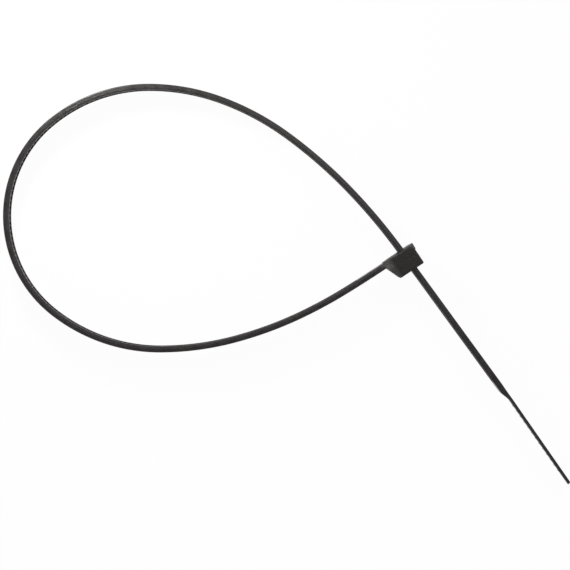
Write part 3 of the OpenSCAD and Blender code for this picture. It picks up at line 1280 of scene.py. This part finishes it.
@dataclass
class Pawl(Part):
    """The pawl and its teeth, inside the slot. Its axes are the strap's: x along it, y towards its teeth.

    The last four sizes are small radii and how far its hinge and its teeth run into what carries them.
    """

    name = "pawl"
    head: Head
    strap: Strap
    tooth_clear: float = 0.09
    pawl_side: float = 0.4
    tip_recess: float = 0.4
    tip_front: float = 0.15
    tip_back: float = 0.3
    pawl_taper: float = 1.1
    edge_r: float = 0.06
    tooth_edge_r: float = 0.018
    seat_depth: float = 0.3
    tooth_sunk: float = 0.2

    def __post_init__(self) -> None:
        """Works out how far the pawl reaches and how many teeth fit on it."""
        head, strap = self.head, self.strap
        self.front = head.route.face + head.rail_clear
        self.back = self.front + head.pawl_t
        self.tip = head.route.head_depth - self.tip_recess
        room = self.tip - self.tip_front - strap.pawl_start + self.tooth_clear - strap.locking_lean
        self.teeth = max(1, math.floor(room / strap.tooth_pitch))

    def arm(self) -> Mesh:
        """Models the hinge and the block that it carries.

        Returns:
            The arm, bevelled.
        """
        lip, hinge = self.head.lip, self.head.hinge_t
        half = self.head.strap_w / 2 + self.head.side_clear - self.pawl_side
        bm = extruded(
            [
                (lip - self.seat_depth, self.front),
                (self.tip - self.tip_front, self.front),
                (self.tip, self.front + self.tip_front),
                (self.tip, self.back - self.tip_back),
                (self.tip - self.tip_back, self.back),
                (lip + self.pawl_taper, self.back),
                (lip, self.front + hinge),
                (lip - self.seat_depth, self.front + hinge),
            ],
            2 * half,
        )
        round_edges(bm, self.edge_r, segments=3)
        return bm

    def tooth(self, lock: float) -> Mesh:
        """Models one tooth of the pawl.

        Args:
            lock: Depth of the locking face that it stands against.

        Returns:
            The tooth, bevelled.
        """
        strap, sunk = self.strap, self.front + self.tooth_sunk
        far = lock - strap.tooth_pitch + strap.locking_lean + strap.crest
        near = lock - self.tooth_clear
        floor = strap.root_a + self.tooth_clear
        bm = extruded(
            [
                (far, sunk),
                (far, strap.root_a + strap.tooth_h + self.tooth_clear),
                (near - strap.root_flat, floor),
                (near, floor),
                (near + strap.locking_lean, sunk),
            ],
            2 * (strap.half_track - self.head.side_clear),
        )
        round_edges(bm, self.tooth_edge_r, segments=2)
        return bm

    def model(self) -> Mesh:
        """Models the pawl in the strap's axes and turns it into the head's.

        Returns:
            The arm and its teeth.
        """
        bm = self.arm()
        for i in range(1, self.teeth + 1):
            tooth = self.tooth(self.strap.pawl_start + i * self.strap.tooth_pitch)
            mesh = bpy.data.meshes.new("pawl_tooth")
            tooth.to_mesh(mesh)
            tooth.free()
            bm.from_mesh(mesh)
            bpy.data.meshes.remove(mesh)
        bmesh.ops.scale(bm, verts=bm.verts, vec=(1, -1, 1))
        turn = math.radians(self.head.route.slot_lean - 90)
        bmesh.ops.rotate(bm, verts=bm.verts, cent=(0, 0, 0), matrix=Matrix.Rotation(turn, 3, "Z"))
        bmesh.ops.recalc_face_normals(bm, faces=bm.faces)
        return bm

    def dress(self, seat: Seat) -> Dress:
        """Polished faces."""
        return Dress(Skin.DRAWN)


@dataclass
class GateMark(Part):
    """The torn nub that the gate left on the end of the head, by the bundle face.

    Attributes:
        head: The head that it is on.
        gate_h: How far it stands out.
        gate_len: Its length.
        gate_w: Its width.
        gate_rise: How far it reaches past the bundle face.
        sunk: How far it runs into the head.
        draft: How much narrower it is at its outer end, as a share.
        round_off: How round its outline is, from 0 for square to 1 for round.
        torn: The largest depth of the tear.
        waves: How fine the tear is, along it and across it.
        cuts: How many cuts each side of its block gets.
    """

    name = "gate_mark"
    sharp = 24.0
    head: Head
    gate_h: float = 0.42
    gate_len: float = 1.75
    gate_w: float = 1.8
    gate_rise: float = 0.12
    sunk: float = 0.36
    draft: float = 0.1
    round_off: float = 0.5
    torn: float = 0.15
    waves: tuple[float, float] = (1.3, 3.2)
    cuts: int = 17

    def tear(self, y: float, z: float) -> float:
        """How far below its full height the nub broke off: least by the bundle, and ragged along the break.

        Args:
            y: Place along the nub, from its middle towards the bundle.
            z: Place across it, from its middle.

        Returns:
            The depth of the tear there.
        """
        layer, fading, fineness, octaves = 4.0, 0.6, 2.2, 4
        ragged = noise.fractal(Vector((self.waves[0] * y, self.waves[1] * z, layer)), fading, fineness, octaves)
        share = 0.5 - y / self.gate_len + ragged
        return self.torn * max(0.9 * share, 0.0)

    def model(self) -> Mesh:
        """Models the nub: a cut-up block, rounded and drafted, with its outer face torn.

        Returns:
            The closed nub.
        """
        bm = bmesh.new()
        bmesh.ops.create_cube(bm, size=2.0)
        bmesh.ops.subdivide_edges(bm, edges=bm.edges[:], cuts=self.cuts, use_grid_fill=True)
        tall = self.sunk + self.gate_h
        for vert in bm.verts:
            x, y, z = vert.co
            share = (x + 1) / 2
            width = 1 - self.draft * share
            y, z = y * math.sqrt(1 - self.round_off * z * z / 2), z * math.sqrt(1 - self.round_off * y * y / 2)
            vert.co = (x * tall / 2, y * width * self.gate_len / 2, z * width * self.gate_w / 2)
            vert.co.x -= smooth(2 * share - 1) * self.tear(vert.co.y, vert.co.z)
        bmesh.ops.triangulate(bm, faces=bm.faces)
        bmesh.ops.recalc_face_normals(bm, faces=bm.faces)
        middle = (self.head.route.end_x + self.gate_h - tall / 2, self.gate_rise - self.gate_len / 2, 0)
        bmesh.ops.translate(bm, verts=bm.verts, vec=middle)
        return bm

    def dress(self, seat: Seat) -> Dress:
        """Torn nylon."""
        return Dress(Skin.TORN)


@dataclass(frozen=True)
class Softbox:
    """A square lamp that looks at the middle of the tie.

    Attributes:
        name: Its name.
        azimuth: Where it stands round the tie, in degrees from +X.
        tilt: How far it stands from straight above, in degrees.
        away: Its distance.
        side: Its side length.
        watts: Its power.
        tint: Its colour.
    """

    name: str
    azimuth: float
    tilt: float
    away: float
    side: float
    watts: float
    tint: tuple[float, float, float] = (0.98, 1.0, 0.965)

    def hang(self) -> None:
        """Makes the lamp."""
        lamp = bpy.data.lights.new(self.name, "AREA")
        lamp.shape = "SQUARE"
        lamp.size = self.side
        lamp.energy = self.watts
        lamp.color = self.tint
        obj = bpy.data.objects.new(self.name, lamp)
        azimuth, tilt = math.radians(self.azimuth), math.radians(self.tilt)
        way = Vector((math.sin(tilt) * math.cos(azimuth), math.sin(tilt) * math.sin(azimuth), math.cos(tilt)))
        obj.location = way * self.away
        obj.rotation_euler = way.to_track_quat("Z", "Y").to_euler()
        obj.visible_camera = False
        bpy.context.scene.collection.objects.link(obj)


@dataclass
class Studio:
    """A white table, a sky that pales towards the horizon, four soft lamps and the camera.

    The camera looks straight down, and its lens is shifted to bring the tie into the frame as in the photo.

    Attributes:
        seat: Where the tie lies.
        camera_from_mouth: The camera's foot in the plan, from the mouth of the slot, in millimetres.
        frame_from_mouth: The middle of the frame, likewise.
        camera_over: Height of the camera over the middle of the strap's width, in millimetres.
        field_wide: Width of the frame at that height, in millimetres.
        sensor: Width of the sensor, in millimetres.
        clip: Nearest and farthest that the camera sees, in metres.
        floor_side: Side length of the table, in metres.
        floor_color: The table's colour.
        glow: Share of plain white in what the camera sees of the table.
        zenith: Strength of the sky overhead.
        horizon: Strength of the sky at the horizon.
        boxes: The lamps.
    """

    seat: Seat
    camera_from_mouth: tuple[float, float] = (-34.0, 4.77)
    frame_from_mouth: tuple[float, float] = (-26.46, -7.85)
    camera_over: float = 455.0
    field_wide: float = 130.53
    sensor: float = 36.0
    clip: tuple[float, float] = (0.01, 20.0)
    floor_side: float = 3.0
    floor_color: tuple[float, float, float, float] = (0.9, 0.9, 0.9, 1.0)
    glow: float = 0.96
    zenith: float = 0.17
    horizon: float = 0.9
    boxes: tuple[Softbox, ...] = (
        Softbox("key", 128.0, 60.0, 0.13, 0.02, 0.105),
        Softbox("side", 62.0, 41.0, 0.68, 0.27, 0.85),
        Softbox("top", 60.0, 12.0, 0.3, 0.08, 0.062),
        Softbox("low", 218.0, 67.0, 0.6, 0.4, 0.75),
    )

    def set_camera(self) -> None:
        """Makes the camera and aims its frame."""
        lens = bpy.data.cameras.new("camera")
        lens.sensor_width = self.sensor
        lens.lens = self.sensor * self.camera_over / self.field_wide
        lens.shift_x = (self.frame_from_mouth[0] - self.camera_from_mouth[0]) / self.field_wide
        lens.shift_y = (self.frame_from_mouth[1] - self.camera_from_mouth[1]) / self.field_wide
        lens.clip_start, lens.clip_end = self.clip
        camera = bpy.data.objects.new("camera", lens)
        camera.location = (self.seat.offset + Vector((*self.camera_from_mouth, self.camera_over))) * MM
        bpy.context.scene.collection.objects.link(camera)
        bpy.context.scene.camera = camera

    def lay_floor(self) -> None:
        """Lays the white table, which keeps a soft shadow of the tie."""
        bm = bmesh.new()
        bmesh.ops.create_grid(bm, x_segments=1, y_segments=1, size=self.floor_side / 2)
        floor = make_object(bm, "floor", Part.sharp)
        made_of = bpy.data.materials.new("white_table")
        made_of.use_nodes = True
        tree, nodes = NodeTree(made_of.node_tree), made_of.node_tree.nodes
        shader = nodes["Principled BSDF"]
        tree.feed(shader, {"Base Color": self.floor_color, "Roughness": 0.9, "Specular IOR Level": 0.1})
        white = tree.add("ShaderNodeEmission", {"Color": WHITE})
        seen = tree.add("ShaderNodeLightPath").outputs
        direct = tree.math("MAXIMUM", seen["Is Camera Ray"], seen["Is Glossy Ray"])
        share = tree.math("MULTIPLY", direct, self.glow)
        tree.surface(nodes["Material Output"], share, shader.outputs["BSDF"], white.outputs["Emission"])
        floor.data.materials.append(made_of)

    def set_sky(self) -> None:
        """Sets a grey sky, palest at the horizon, that the camera sees as white."""
        world = bpy.data.worlds.new("sky")
        world.use_nodes = True
        bpy.context.scene.world = world
        tree, nodes = NodeTree(world.node_tree), world.node_tree.nodes
        way = tree.add("ShaderNodeSeparateXYZ", {"Vector": tree.add("ShaderNodeTexCoord").outputs["Generated"]})
        light = nodes["Background"]
        up = tree.span(way.outputs["Z"], (0.0, 1.0), (self.horizon, self.zenith))
        tree.feed(light, {"Color": WHITE, "Strength": up})
        white = tree.add("ShaderNodeBackground", {"Color": WHITE, "Strength": 1.0})
        seen = tree.add("ShaderNodeLightPath").outputs["Is Camera Ray"]
        tree.surface(nodes["World Output"], seen, light.outputs["Background"], white.outputs["Background"])

    def set_up(self) -> None:
        """Makes the whole studio."""
        bpy.context.scene.view_settings.view_transform = "Standard"
        self.set_camera()
        self.lay_floor()
        self.set_sky()
        for box in self.boxes:
            box.hang()


def main() -> None:
    logging.basicConfig(level=logging.INFO, format="%(message)s")
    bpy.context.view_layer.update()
    route = Route()
    seat = Seat(route)
    Studio(seat).set_up()

    shelf = FinishShelf()
    strap = Strap(route)
    head = Head(route)
    for part in (strap, head, Pawl(head, strap), GateMark(head)):
        piece = part.build(seat, shelf)
        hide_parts(NODE)
        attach(piece, BODY)
        LOG.info("%s: %d vertices, %d faces", piece.name, len(piece.data.vertices), len(piece.data.polygons))


if __name__ == "__main__":
    main()
